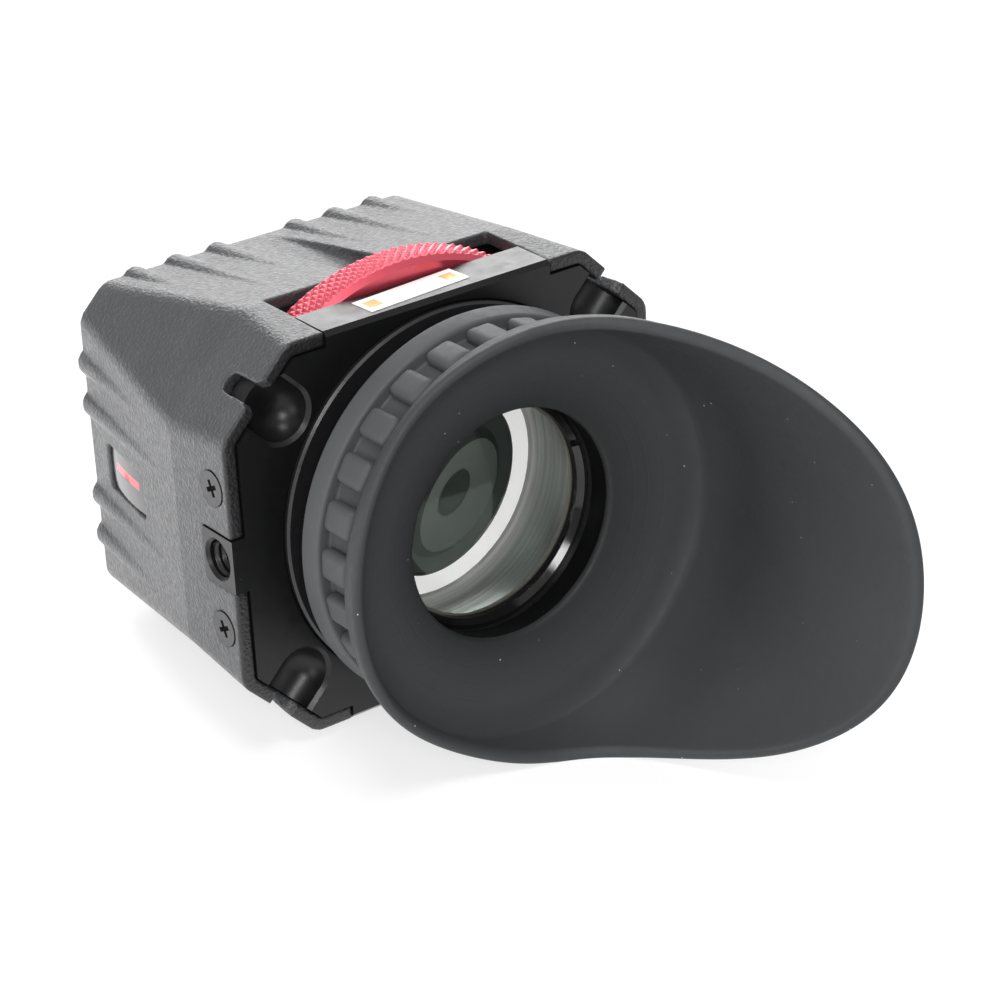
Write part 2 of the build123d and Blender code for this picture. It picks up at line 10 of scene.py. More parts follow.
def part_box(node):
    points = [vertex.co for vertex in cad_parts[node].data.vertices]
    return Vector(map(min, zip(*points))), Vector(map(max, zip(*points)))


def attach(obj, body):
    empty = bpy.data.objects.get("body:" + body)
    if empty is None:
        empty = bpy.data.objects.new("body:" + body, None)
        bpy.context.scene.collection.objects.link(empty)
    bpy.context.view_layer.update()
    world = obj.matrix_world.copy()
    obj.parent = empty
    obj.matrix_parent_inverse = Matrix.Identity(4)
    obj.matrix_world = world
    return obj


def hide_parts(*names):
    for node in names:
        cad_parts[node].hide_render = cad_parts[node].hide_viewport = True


# A viewfinder loupe for a camera screen. The frame is metres: X to the right as
# seen from the eye, Y from the eye to the screen, Z up. Sizes below are millimetres.
# "Depth" is behind the front plate's face, positive towards the screen.

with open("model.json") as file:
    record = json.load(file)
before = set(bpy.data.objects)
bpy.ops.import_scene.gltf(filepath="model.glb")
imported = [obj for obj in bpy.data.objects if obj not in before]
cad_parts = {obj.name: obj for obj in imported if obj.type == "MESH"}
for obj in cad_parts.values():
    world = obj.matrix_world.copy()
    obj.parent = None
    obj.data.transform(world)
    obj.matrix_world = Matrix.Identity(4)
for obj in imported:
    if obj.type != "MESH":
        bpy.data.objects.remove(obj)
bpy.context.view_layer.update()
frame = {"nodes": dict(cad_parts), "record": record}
cad = frame["nodes"]

MM = 0.001
plate_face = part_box("front_plate")[0].y / MM

# Eyecup, in the same driving sizes as the CAD solid
collar_rear = -6.2
collar_front = -10.1
collar_radii = (34.1, 33.5)
insert_radius = 30.0
neck_radius = 31.2
cup_floor = -17.2
cup_start = -17.5
cup_aperture = 19.9
seat_face = -16.1
dish_edge = (27.5, -19.3)
flare_middle = (34.9, -20.2)
flare_end = (37.1, -23.0)
rubber_wall = 2.2
rim_roll = 1.25
peg_count = 25
peg_first = 4.2
peg_width = 5.2
peg_length = 7.2
peg_outer = 33.3
peg_root = 1.0

# Eyecup, softer than the CAD solid: roundings, thinner wall at the bend, and the mesh's steps
peg_round = 1.45
base_rounding = (0, 0.7, 0.3, 0.2, 0.2, 0.5, 0.7, 0.5, 0)
bend_thinning = (0.3, 1.0)
dish_steps = (0.03, 0.25, 0.5, 0.75)
flare_steps = (9, 10)
wall_steps = 34
roll_steps = 9
cup_columns = 300

# Cup wall past the flare: reach towards the eye, half width, half height
cup_sections = (
    (23.0, 37.1, 37.1), (28.0, 38.0, 38.8), (39.0, 36.3, 41.4), (58.0, 34.3, 45.4),
    (84.0, 34.6, 47.9),
)

# Rim seen from above: place across the cup and reach towards the eye
rim_curve = (
    (-42.0, 27.5), (-22.0, 24.6), (-6.6, 27.8), (10.4, 37.2),
    (26.0, 64.5), (33.0, 76.2), (37.0, 79.5), (44.0, 80.0),
)

# Settling where the rim is at an angle: a first guess across the cup, and rounds
rim_guess = 36.0
rim_rounds = 40

# Knurl and threads
knurl_count = 136
knurl_height = 0.42
knurl_margin = 0.9
knurl_steps = 8
knurl_flat = 1.25
knurl_gap = 0.01
knurl_fade_rows = 2.0
thread_pitch = 1.27
thread_radius = 3.16
thread_height = 0.6
thread_length = 6.2
thread_inset = 0.62
thread_depth = 4.75

# Finishes: painted shade on the shell's rim face next to the plate, the cup's dusty grip, its mould
# rings, and painted shade darkening its dish
rim_shade_depths = (0.75, 0.5)
grip_fade = (-3.5, 1.5)
mould_rings = (24.2, 26.6, 29.4)
dish_shade_span = (30.5, 21.0)

# Badge: its bar's half length and half height, and lift. Label: its turn and its squares
bar_half = (5.0, 0.75)
bar_lift = 0.9
label_turn = 3.8
square_place = 8.0
square_half = 1.35

# Softened edges of the metal and plastic pieces
edge_widths = {
    "front_plate": 0.22, "side_screws": 0.12, "lens_barrel": 0.2, "eyecup_seat": 0.2,
    "lens_retainer": 0.12, "diopter_wheel": 0.15, "lens_spacer": 0.1,
}
shell_voxel = 0.3
shell_rounds = 4

# Glass: where the eye lens's ground bevel starts and how far it is chipped, and the white ring's face,
# inside which its bore is painted black as shade
lens_bevel_radius = 18.4
bevel_chips = 0.12
shim_face_radius = 19.3

# How a lens's faces are told apart by the tilt of their normals, and its rim by its share of the radius
edge_tilt = 0.1
back_tilt = 0.9
front_tilt = -0.3
rim_share = 0.999

# Camera and floor
camera_place = (-282.2, -463.7, 235.9)
camera_azimuth = 35.635
camera_elevation = 25.66
camera_roll = -2.88
camera_lens = 118.76
floor_slope = 0.0757
floor_contact = (-39.0, -35.25)

# Light: the table's own glow and what it throws back at the object from front to back, how much
# of it shows through glass, and the room's brightness
floor_share = 0.65
floor_glow = 1.05
floor_bounce = (1.1, 3.0)
bounce_span = (-0.12, 0.05)
floor_reach = 4.0
backdrop_glow = 1.3
behind_glass = 0.2
room_level = 0.30
room_above = 0.34
room_behind = 0.20
above_span = (-0.1, 0.9)
behind_span = (-0.2, 0.9)

# Lamps: name, place and target in metres, size in metres, power in watts
lamps = (
    ("overhead", (-0.25, -0.45, 1.4), (0, -0.06, 0), (0.5, 0.5), 9),
    ("back", (0.75, 1.1, 0.7), (0, -0.03, 0), (1.2, 0.8), 17),
    ("left", (-1.2, -0.25, 0.15), (0, -0.03, 0), (0.9, 0.5), 6),
    ("front", (-0.6, -1.0, 0.62), (0, -0.06, 0), (0.35, 0.35), 7),
)


# Numbers


def spline(points):
    """A smooth curve through (x, y) points as a function, with free ends."""
    xs, ys = (np.array(values, float) for values in zip(*points))
    gaps = np.diff(xs)
    slopes = np.diff(ys) / gaps
    system = np.eye(len(xs))
    right = np.zeros(len(xs))
    for i in range(1, len(xs) - 1):
        system[i, i - 1 : i + 2] = gaps[i - 1], 2 * (gaps[i - 1] + gaps[i]), gaps[i]
        right[i] = 6 * (slopes[i] - slopes[i - 1])
    bends = np.linalg.solve(system, right)

    def value(x):
        i = np.clip(np.searchsorted(xs, x) - 1, 0, len(gaps) - 1)
        h = gaps[i]
        a, b = (xs[i + 1] - x) / h, (x - xs[i]) / h
        curve = ((a**3 - a) * bends[i] + (b**3 - b) * bends[i + 1]) * h**2 / 6
        return a * ys[i] + b * ys[i + 1] + curve

    return value


def rounded(corners, radii, steps=4):
    """A closed run of (r, depth) corners with each one rounded by its own radius."""
    out = []
    count = len(corners)
    for i, radius in enumerate(radii):
        here = np.array(corners[i], float)
        before = np.array(corners[i - 1], float) - here
        after = np.array(corners[(i + 1) % count], float) - here
        if radius == 0:
            out.append(here)
            continue
        start = here + before / np.linalg.norm(before) * radius
        end = here + after / np.linalg.norm(after) * radius
        for t in np.linspace(0, 1, steps + 1):
            out.append((1 - t) ** 2 * start + 2 * t * (1 - t) * here + t**2 * end)
    return out


# Meshes


def grid_faces(rows, columns, wrap_rows=False):
    """Quads of a grid whose columns wrap round."""
    faces = []
    for i in range(rows if wrap_rows else rows - 1):
        k = (i + 1) % rows
        for j in range(columns):
            n = (j + 1) % columns
            faces.append((i * columns + j, i * columns + n, k * columns + n, k * columns + j))
    return faces


def mesh_object(name, points, faces, smooth=True):
    """A mesh object from points in millimetres, with outward normals."""
    mesh = bpy.data.meshes.new(name)
    mesh.from_pydata([tuple(float(v) * MM for v in p) for p in points], [], faces)
    work = bmesh.new()
    work.from_mesh(mesh)
    bmesh.ops.recalc_face_normals(work, faces=work.faces)
    work.to_mesh(mesh)
    work.free()
    mesh.polygons.foreach_set("use_smooth", [smooth] * len(mesh.polygons))
    piece = bpy.data.objects.new(name, mesh)
    bpy.context.scene.collection.objects.link(piece)
    return piece


def place(piece, body, slot, material):
    """Gives a new piece its body and finish. Its slot argument is not used."""
    piece.data.materials.clear()
    piece.data.materials.append(material)
    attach(piece, body)
    return piece


def bevel(piece, width, angle=28.0, segments=2):
    """Rounds a part's sharp edges slightly."""
    made = piece.modifiers.new("edges", "BEVEL")
    made.width = width * MM
    made.segments = segments
    made.limit_method = "ANGLE"
    made.angle_limit = radians(angle)
    made.use_clamp_overlap = True
    made.harden_normals = True


def soften(piece, voxel, rounds):
    """Gives a moulded part its soft edges."""
    remesh = piece.modifiers.new("moulded", "REMESH")
    remesh.mode = "VOXEL"
    remesh.voxel_size = voxel * MM
    remesh.use_smooth_shade = True
    relax = piece.modifiers.new("soft", "SMOOTH")
    relax.factor = 0.5
    relax.iterations = rounds


# Material nodes


class Nodes:
    """Short calls that build a shader graph round a place in space."""

    def __init__(self, tree, place):
        self.tree = tree
        self.place = self.node("ShaderNodeTexCoord").outputs[place]

    def node(self, kind, **settings):
        made = self.tree.nodes.new(kind)
        for key, value in settings.items():
            setattr(made, key, value)
        return made

    def link(self, source, target):
        self.tree.links.new(source, target)

    def constant(self, color):
        made = self.node("ShaderNodeRGB")
        made.outputs[0].default_value = (*color, 1)
        return made.outputs[0]

    def feed(self, slot, value):
        """Sets an input to a number, or links a socket to it."""
        if isinstance(value, (int, float)):
            slot.default_value = value
        else:
            self.link(value, slot)

    def math(self, operation, *values):
        made = self.node("ShaderNodeMath", operation=operation)
        for slot, value in zip(made.inputs, values):
            self.feed(slot, value)
        return made.outputs[0]

    def axis(self, name, place=None):
        split = self.node("ShaderNodeSeparateXYZ")
        self.link(place or self.place, split.inputs[0])
        return split.outputs[name]

    def ramp(self, source, low, high, to_low=0.0, to_high=1.0):
        made = self.node("ShaderNodeMapRange", clamp=True)
        for slot, value in zip(made.inputs[1:5], (low, high, to_low, to_high)):
            slot.default_value = value
        self.link(source, made.inputs[0])
        return made.outputs[0]

    def by_ray(self, to_camera, to_others):
        """A strength for camera rays and one for the rest, dimmed where glass is in between."""
        path = self.node("ShaderNodeLightPath")
        dim = self.ramp(path.outputs["Is Transmission Ray"], 0.0, 1.0, 1.0, behind_glass)
        mixed = self.node("ShaderNodeMix", data_type="FLOAT")
        self.link(path.outputs["Is Camera Ray"], mixed.inputs["Factor"])
        self.link(self.math("MULTIPLY", to_others, dim), mixed.inputs["A"])
        self.feed(mixed.inputs["B"], to_camera)
        return mixed.outputs["Result"]

    def mix_shaders(self, share, first, second):
        made = self.node("ShaderNodeMixShader")
        for slot, value in zip(made.inputs, (share, first, second)):
            self.feed(slot, value)
        return made.outputs[0]


class Finish(Nodes):
    """A material with one Principled shader and calls that add procedural detail."""

    def __init__(self, name, color, roughness, **inputs):
        self.material = bpy.data.materials.new(name)
        self.material.use_nodes = True
        super().__init__(self.material.node_tree, "Object")
        self.shader = self.tree.nodes["Principled BSDF"]
        self.surface = self.shader.outputs[0]
        self.color = self.constant(color)
        self.shader.inputs["Roughness"].default_value = roughness
        self.roughness = roughness
        for key, value in inputs.items():
            self.shader.inputs[key.replace("_", " ")].default_value = value
        self.last_bump = None

    def radius(self):
        """Distance from the optical axis."""
        squares = [self.math("POWER", self.axis(name), 2.0) for name in "XZ"]
        return self.math("SQRT", self.math("ADD", *squares))

    def noise(self, size, detail=3.0, rough=0.5, stretch=None):
        """Noise whose features are about size millimetres."""
        made = self.node("ShaderNodeTexNoise")
        made.inputs["Scale"].default_value = 1.0 / (size * MM)
        made.inputs["Detail"].default_value = detail
        made.inputs["Roughness"].default_value = rough
        self.link(self.stretched(stretch), made.inputs["Vector"])
        return made.outputs["Fac"]

    def stretched(self, stretch):
        if stretch is None:
            return self.place
        made = self.node("ShaderNodeMapping")
        made.inputs["Scale"].default_value = stretch
        self.link(self.place, made.inputs["Vector"])
        return made.outputs[0]

    def cells(self, size, feature="F1"):
        made = self.node("ShaderNodeTexVoronoi", feature=feature)
        made.inputs["Scale"].default_value = 1.0 / (size * MM)
        self.link(self.place, made.inputs["Vector"])
        return made

    def tint(self, share, color):
        """Blends the base colour towards another by a share."""
        made = self.node("ShaderNodeMix", data_type="RGBA")
        self.link(share, made.inputs["Factor"])
        self.link(self.color, made.inputs["A"])
        made.inputs["B"].default_value = (*color, 1)
        self.color = made.outputs["Result"]

    def vary_roughness(self, source, spread):
        self.link(
            self.ramp(source, 0.3, 0.7, self.roughness - spread, self.roughness + spread),
            self.shader.inputs["Roughness"],
        )

    def bump(self, source, height, strength=1.0):
        made = self.node("ShaderNodeBump")
        made.inputs["Strength"].default_value = strength
        made.inputs["Distance"].default_value = height * MM
        self.link(source, made.inputs["Height"])
        if self.last_bump:
            self.link(self.last_bump, made.inputs["Normal"])
        self.last_bump = made.outputs[0]

    def specks(self, spacing, size, share, color, strength=1.0):
        """Sparse dust: a few small dots, one in so many cells."""
        cell = self.cells(spacing)
        near = self.math("LESS_THAN", cell.outputs["Distance"], size / spacing)
        split = self.node("ShaderNodeSeparateColor")
        self.link(cell.outputs["Color"], split.inputs[0])
        chosen = self.math("LESS_THAN", split.outputs[0], share)
        self.tint(self.math("MULTIPLY", self.math("MULTIPLY", near, chosen), strength), color)

    def done(self):
        self.link(self.color, self.shader.inputs["Base Color"])
        if self.last_bump:
            self.link(self.last_bump, self.shader.inputs["Normal"])
        self.link(self.surface, self.tree.nodes["Material Output"].inputs["Surface"])
        return self.material


def moulded_plastic():
    """Spark-eroded black moulding: fine pebbles, slight gloss, a little dust."""
    f = Finish("moulded_plastic", (0.030, 0.031, 0.034), 0.46, Specular_IOR_Level=0.62)
    f.tint(f.ramp(f.noise(9.0, 4), 0.35, 0.75, 0.0, 0.5), (0.045, 0.046, 0.050))
    f.vary_roughness(f.noise(0.9, 4), 0.09)
    f.bump(f.noise(0.6, 3, 0.6), 0.17, 0.9)
    f.bump(f.cells(0.55, "SMOOTH_F1").outputs["Distance"], 0.16, 0.8)
    f.specks(2.6, 0.10, 0.10, (0.35, 0.35, 0.36), 0.7)
    # Painted shade: the shell's rim face next to the plate is darkened to stand in for the shade in the
    # reveal between shell and plate
    rim_shade = f.ramp(f.axis("Y"), *((plate_face + depth) * MM for depth in rim_shade_depths))
    f.tint(rim_shade, (0.006, 0.006, 0.007))
    return f.done()


def black_metal():
    """Black anodised aluminium, satin."""
    f = Finish("black_metal", (0.005, 0.0051, 0.0055), 0.34, Specular_IOR_Level=0.32)
    f.vary_roughness(f.noise(2.0, 5), 0.05)
    f.bump(f.noise(0.12, 3), 0.012, 0.4)
    f.specks(1.9, 0.07, 0.10, (0.25, 0.25, 0.25), 0.8)
    return f.done()


def black_steel():
    f = Finish("black_steel", (0.035, 0.035, 0.037), 0.33, Metallic=0.6)
    f.vary_roughness(f.noise(0.8, 4), 0.08)
    f.bump(f.noise(0.25, 3), 0.02, 0.5)
    return f.done()


def barrel_black():
    """Turned and anodised metal, with fine rings round the axis."""
    f = Finish("barrel_black", (0.010, 0.010, 0.011), 0.32, Specular_IOR_Level=0.5)
    f.vary_roughness(f.noise(1.2, 4), 0.06)
    f.bump(f.noise(0.3, 3, 0.5, (0.02, 1.0, 0.02)), 0.012, 0.4)
    return f.done()


def gloss_black():
    f = Finish("gloss_black", (0.006, 0.006, 0.006), 0.14)
    f.vary_roughness(f.noise(1.5, 4), 0.05)
    f.bump(f.noise(0.8, 3), 0.01, 0.3)
    return f.done()


def seat_plastic():
    f = Finish("seat_plastic", (0.0015, 0.0015, 0.0015), 0.5, Specular_IOR_Level=0.08)
    f.vary_roughness(f.noise(0.7, 4), 0.08)
    f.bump(f.noise(0.3, 3), 0.03, 0.4)
    f.specks(2.2, 0.08, 0.12, (0.3, 0.3, 0.3), 0.7)
    return f.done()


def red_anodised():
    coat = {"Coat_Weight": 1.0, "Coat_Roughness": 0.35}
    f = Finish("red_anodised", (0.70, 0.065, 0.11), 0.36, Metallic=0.75, **coat)
    f.tint(f.ramp(f.noise(3.0, 4), 0.35, 0.7, 0.0, 0.35), (0.74, 0.075, 0.115))
    f.vary_roughness(f.noise(0.5, 4), 0.08)
    f.bump(f.noise(0.10, 3), 0.012, 0.4)
    return f.done()


def turned_aluminium():
    """Bare aluminium with the fine rings that turning leaves."""
    f = Finish("turned_aluminium", (0.33, 0.33, 0.325), 0.5, Metallic=1.0)
    rings = f.noise(0.22, 2, 0.6, (0.01, 1.0, 0.01))
    f.tint(f.ramp(rings, 0.35, 0.65, 0.0, 0.6), (0.20, 0.20, 0.20))
    f.vary_roughness(rings, 0.1)
    f.bump(rings, 0.02, 0.5)
    return f.done()


def white_nylon():
    """Bright white face, lifted a little by a painted glow for the light the glass gathers onto it, and
    a bore painted black as shade.
    """
    f = Finish("white_nylon", (0.92, 0.92, 0.91), 0.45)
    f.shader.inputs["Emission Color"].default_value = (1, 1, 0.99, 1)
    # Painted shade: inside the face's radius the bore of the white ring is painted near black
    bore_shade = f.math("LESS_THAN", f.radius(), shim_face_radius * MM)
    f.tint(bore_shade, (0.010, 0.014, 0.012))
    # Painted glow: the face emits a little light, standing in for the light the glass gathers onto it;
    # the painted-black bore emits none
    f.link(f.ramp(bore_shade, 0.0, 1.0, 0.3, 0.0), f.shader.inputs["Emission Strength"])
    f.vary_roughness(f.noise(1.0, 3), 0.06)
    f.bump(f.noise(0.4, 3), 0.01, 0.4)
    return f.done()


def slip_plastic():
    f = Finish("slip_plastic", (0.020, 0.020, 0.022), 0.4)
    f.vary_roughness(f.noise(1.0, 3), 0.06)
    return f.done()


def spring_steel():
    f = Finish("spring_steel", (0.5, 0.5, 0.49), 0.3, Metallic=1.0)
    f.vary_roughness(f.noise(0.6, 4, 0.5, (1.0, 0.1, 1.0)), 0.1)
    return f.done()


def seal_rubber():
    f = Finish("seal_rubber", (0.018, 0.018, 0.018), 0.75)
    f.vary_roughness(f.noise(0.6, 4), 0.1)
    f.bump(f.noise(0.3, 4), 0.05, 0.5)
    return f.done()


def soft_rubber():
    """Silicone rubber: matte, dusty on the grip, with faint mould rings in the dish."""
    f = Finish("soft_rubber", (0.029, 0.031, 0.034), 0.60, Specular_IOR_Level=0.36)
    grip = f.ramp(f.axis("Y"), *((plate_face + cup_start + step) * MM for step in grip_fade))
    f.tint(grip, (0.062, 0.064, 0.067))
    f.tint(f.ramp(f.noise(16.0, 4), 0.4, 0.75, 0.0, 0.35), (0.040, 0.043, 0.047))
    f.vary_roughness(f.noise(1.6, 4), 0.06)
    f.bump(f.noise(0.35, 3, 0.6), 0.02, 0.35)
    f.bump(f.noise(2.5, 3), 0.03, 0.25)
    for ring in mould_rings:
        gap = f.math("ABSOLUTE", f.math("SUBTRACT", f.radius(), ring * MM))
        f.bump(f.ramp(gap, 0.0, 0.28 * MM), 0.05, 0.35)
    # Painted shade: the dish darkens towards the aperture, standing in for the shade deep inside the cup
    f.tint(f.ramp(f.radius(), *(reach * MM for reach in dish_shade_span), 0.0, 0.8), (0.009, 0.0095, 0.010))
    f.specks(2.7, 0.12, 0.28, (0.55, 0.56, 0.56), 0.85)
    f.specks(1.7, 0.06, 0.10, (0.40, 0.41, 0.42), 0.8)
    return f.done()


def badge_gloss():
    """A domed gloss plate with a plain red bar in place of a mark."""
    f = Finish("badge_gloss", (0.010, 0.010, 0.012), 0.16, Specular_IOR_Level=0.3)
    low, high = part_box("badge_left")
    middle = (low + high) / 2
    across = f.math("ABSOLUTE", f.math("SUBTRACT", f.axis("Y"), middle.y))
    up = f.math("ABSOLUTE", f.math("SUBTRACT", f.axis("Z"), middle.z + bar_lift * MM))
    inside = [f.math("LESS_THAN", reach, half * MM) for reach, half in zip((across, up), bar_half)]
    bar = f.math("MULTIPLY", *inside)
    f.tint(bar, (0.60, 0.03, 0.04))
    f.vary_roughness(f.noise(2.0, 4), 0.03)
    f.bump(f.noise(1.5, 3), 0.01, 0.2)
    return f.done()


def label_paper():
    """White coated paper with an amber square at each end and no text."""
    f = Finish("label_paper", (0.84, 0.83, 0.80), 0.35)
    low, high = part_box("top_label")
    middle = (low + high) / 2
    local = f.node("ShaderNodeMapping", vector_type="TEXTURE")
    local.inputs["Location"].default_value = middle
    local.inputs["Rotation"].default_value = (0, 0, radians(label_turn))
    f.link(f.place, local.inputs["Vector"])
    either_side = f.math("ABSOLUTE", f.axis("X", local.outputs[0]))
    along = f.math("ABSOLUTE", f.math("SUBTRACT", either_side, square_place * MM))
    across = f.math("ABSOLUTE", f.axis("Y", local.outputs[0]))
    square = f.math("LESS_THAN", f.math("MAXIMUM", along, across), square_half * MM)
    f.tint(square, (0.78, 0.30, 0.02))
    f.tint(f.ramp(f.noise(2.5, 4), 0.5, 0.75, 0.0, 0.3), (0.66, 0.65, 0.62))
    f.vary_roughness(f.noise(1.0, 4), 0.08)
    f.bump(f.noise(0.5, 3), 0.01, 0.3)
    return f.done()


def glass(name, color, coating):
    """Clear glass with a faint coating colour. Lamps shine through it."""
    f = Finish(name, color, 0.0, IOR=1.49, Transmission_Weight=1.0)
    f.shader.inputs["Specular Tint"].default_value = (*coating, 1)
    f.clear_roughness = f.ramp(f.noise(2.5), 0.3, 0.7, 0.0, 0.012)
    f.link(f.clear_roughness, f.shader.inputs["Roughness"])
    path = f.node("ShaderNodeLightPath")
    clear = f.node("ShaderNodeBsdfTransparent")
    clear.inputs[0].default_value = (*color, 1)
    seen_by_light = f.math("MAXIMUM", path.outputs["Is Shadow Ray"], path.outputs["Is Diffuse Ray"])
    f.surface = f.mix_shaders(seen_by_light, f.surface, clear.outputs[0])
    return f


def coated_glass():
    """The eye lens: clear, with a ground bevel round its edge."""
    f = glass("coated_glass", (0.98, 0.985, 0.98), (0.7, 0.85, 0.75))
    chips = f.ramp(f.noise(1.2, 4), 0.3, 0.7, -bevel_chips * MM, bevel_chips * MM)
    ground = f.math("GREATER_THAN", f.math("ADD", f.radius(), chips), lens_bevel_radius * MM)
    f.tint(ground, (0.20, 0.19, 0.165))
    f.link(f.ramp(ground, 0.0, 1.0, 1.0, 0.0), f.shader.inputs["Transmission Weight"])
    roughness = f.math("MAXIMUM", f.math("MULTIPLY", ground, 0.5), f.clear_roughness)
    f.link(roughness, f.shader.inputs["Roughness"])
    return f.done()


def field_glass():
    return glass("field_glass", (0.86, 0.95, 0.89), (0.55, 0.9, 0.65)).done()


def ground_glass():
    """The fine-ground edge of a lens: a warm grey."""
    f = Finish("ground_glass", (0.20, 0.19, 0.165), 0.6)
    f.tint(f.ramp(f.noise(3.0), 0.35, 0.7, 0.0, 0.4), (0.13, 0.125, 0.11))
    f.vary_roughness(f.noise(1.0), 0.1)
    f.bump(f.noise(0.2), 0.02, 0.4)
    return f.done()


finishes = {
    make.__name__: make()
    for make in (
        moulded_plastic, black_metal, black_steel, barrel_black, gloss_black, seat_plastic, red_anodised,
        turned_aluminium, white_nylon, slip_plastic, spring_steel, seal_rubber, soft_rubber, badge_gloss,
        label_paper, coated_glass, field_glass, ground_glass,
    )
}


# Carried-over CAD nodes


def dress_cad_nodes():
    """Each CAD node takes the finish of its material slot."""
    for part in frame["record"]["subparts"]:
        node = cad[part["node"]]
        node.data.materials.clear()
        node.data.materials.append(finishes[part["material_slot"]])
    cad["field_lens"].data.materials[0] = finishes["field_glass"]
    paint_edge("eye_lens", "ground_glass")
    paint_edge("field_lens", "seat_plastic")
    shade_lens("eye_lens")
    soften(cad["housing_shell"], shell_voxel, shell_rounds)
    for node, width in edge_widths.items():
        bevel(cad[node], width)


def paint_edge(node, finish):
    """Gives a lens's cylindrical edge a finish of its own."""
    mesh = cad[node].data
    mesh.materials.append(finishes[finish])
    for face in mesh.polygons:
        if abs(face.normal.y) < edge_tilt:
            face.material_index = 1


def shade_lens(node):
    """Shades a lens as a true sphere in front, a cylinder round its edge and a plane behind."""
    mesh = cad[node].data
    reach = max(Vector((v.co.x, v.co.z)).length for v in mesh.vertices)
    apex = min(v.co.y for v in mesh.vertices)
    rim = min(v.co.y for v in mesh.vertices if Vector((v.co.x, v.co.z)).length > rim_share * reach)
    sag = rim - apex
    centre = Vector((0, apex + (reach**2 + sag**2) / (2 * sag), 0))
    normals = []
    for face in mesh.polygons:
        for corner in face.loop_indices:
            point = mesh.vertices[mesh.loops[corner].vertex_index].co
            if face.normal.y > back_tilt:
                normals.append(Vector((0, 1, 0)))
            elif face.normal.y < front_tilt:
                normals.append((point - centre).normalized())
            else:
                normals.append(Vector((point.x, 0, point.z)).normalized())
    mesh.normals_split_custom_set(normals)


# Eyecup


def at_depth(depth):
    return plate_face + depth


half_width = spline([(reach, x) for reach, x, z in cup_sections])
half_height = spline([(reach, z) for reach, x, z in cup_sections])
rim_reach = spline(rim_curve)


def rim_at(angle):
    """The rim's reach at an angle round the axis."""
    x = rim_guess * cos(angle)
    for _ in range(rim_rounds):
        x = 0.5 * x + 0.5 * half_width(rim_reach(x)) * cos(angle)
    return rim_reach(x)


def cup_base_profile():
    """Rounded (radius, depth) run from the dish's edge back round the collar to the flare."""
    corners = [
        dish_edge, (cup_aperture, cup_floor), (cup_aperture, seat_face), (insert_radius, seat_face),
        (insert_radius, collar_rear), (collar_radii[0], collar_rear), (collar_radii[1], collar_front),
        (neck_radius, collar_front), (neck_radius, cup_start),
    ]
    run = rounded(corners, base_rounding)
    edge, hole = np.array(dish_edge), np.array((cup_aperture, cup_floor))
    dish = [edge + (hole - edge) * t for t in dish_steps]
    return [run[0]] + dish + run[1:]


def flare(start, middle, end, steps):
    """A curve through three (radius, depth) points."""
    t = np.linspace(0, 1, steps)[:, None]
    start, middle, end = (np.array(p, float) for p in (start, middle, end))
    control = 2 * middle - (start + end) / 2
    return (1 - t) ** 2 * start + 2 * t * (1 - t) * control + t**2 * end


def cup_column(angle):
    """The cup's closed outline in the half plane at an angle, as (x, y, z) points."""
    base = cup_base_profile()
    outer = flare((neck_radius, cup_start), flare_middle, flare_end, flare_steps[0])[1:-1]
    inner_end = (flare_end[0] - rubber_wall, flare_end[1])
    inner_middle = (flare_middle[0] - rubber_wall - bend_thinning[0], flare_middle[1] - bend_thinning[1])
    inner = flare(dish_edge, inner_middle, inner_end, flare_steps[1])[::-1][1:-1]
    column = [wall_point(angle, r, -depth, r) for r, depth in base]
    column += [wall_point(angle, r, -depth, r) for r, depth in outer]
    rim = rim_at(angle)
    first = -flare_end[1]
    climb = np.linspace(0, 1, wall_steps)
    for t in climb:
        reach = first + (rim - rim_roll - first) * t
        column.append(wall_point(angle, half_width(reach), reach, half_height(reach)))
    for turn in np.linspace(0, pi, roll_steps)[1:-1]:
        reach = rim - rim_roll + rim_roll * sin(turn)
        wall = rubber_wall / 2 * (1 - cos(turn))
        column.append(wall_point(angle, half_width(reach) - wall, reach, half_height(reach) - wall))
    for t in climb[::-1]:
        reach = first + (rim - rim_roll - first) * t
        wall = rubber_wall
        column.append(wall_point(angle, half_width(reach) - wall, reach, half_height(reach) - wall))
    column += [wall_point(angle, r, -depth, r) for r, depth in inner]
    return column


def wall_point(angle, width, reach, height):
    return width * cos(angle), at_depth(-reach), height * sin(angle)


def rounded_block(width, height, length, radius):
    """A small block with rounded edges, centred, as a bmesh."""
    block = bmesh.new()
    bmesh.ops.create_cube(block, size=1.0, matrix=Matrix.Diagonal((height, length, width, 1)))
    bmesh.ops.bevel(block, geom=block.edges[:], offset=radius, segments=4, profile=0.6, affect="EDGES")
    return block


def grip_pegs():
    """Points and faces of the rounded blocks round the neck."""
    height = peg_outer - neck_radius + peg_root
    block = rounded_block(peg_width, height, peg_length, peg_round)
    middle = Vector((neck_radius - peg_root + height / 2, at_depth((collar_front + cup_start) / 2), 0))
    points, faces = [], []
    for i in range(peg_count):
        turn = Matrix.Rotation(-radians(peg_first + 360.0 / peg_count * i), 4, "Y")
        first = len(points)
        points += [turn @ (v.co + middle) for v in block.verts]
        faces += [tuple(first + v.index for v in f.verts) for f in block.faces]
    block.free()
    return points, faces


def make_eyecup():
    profile = [cup_column(tau * i / cup_columns) for i in range(cup_columns)]
    rows = len(profile[0])
    points = [profile[j][i] for i in range(rows) for j in range(cup_columns)]
    faces = grid_faces(rows, cup_columns, wrap_rows=True)
    peg_points, peg_faces = grip_pegs()
    first = len(points)
    points += peg_points
    faces += [tuple(first + v for v in f) for f in peg_faces]
    cup = mesh_object("rubber_eyecup", points, faces)
    place(cup, "eyecup", "soft_rubber", finishes["soft_rubber"])
    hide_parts("eyecup")


# Wheel


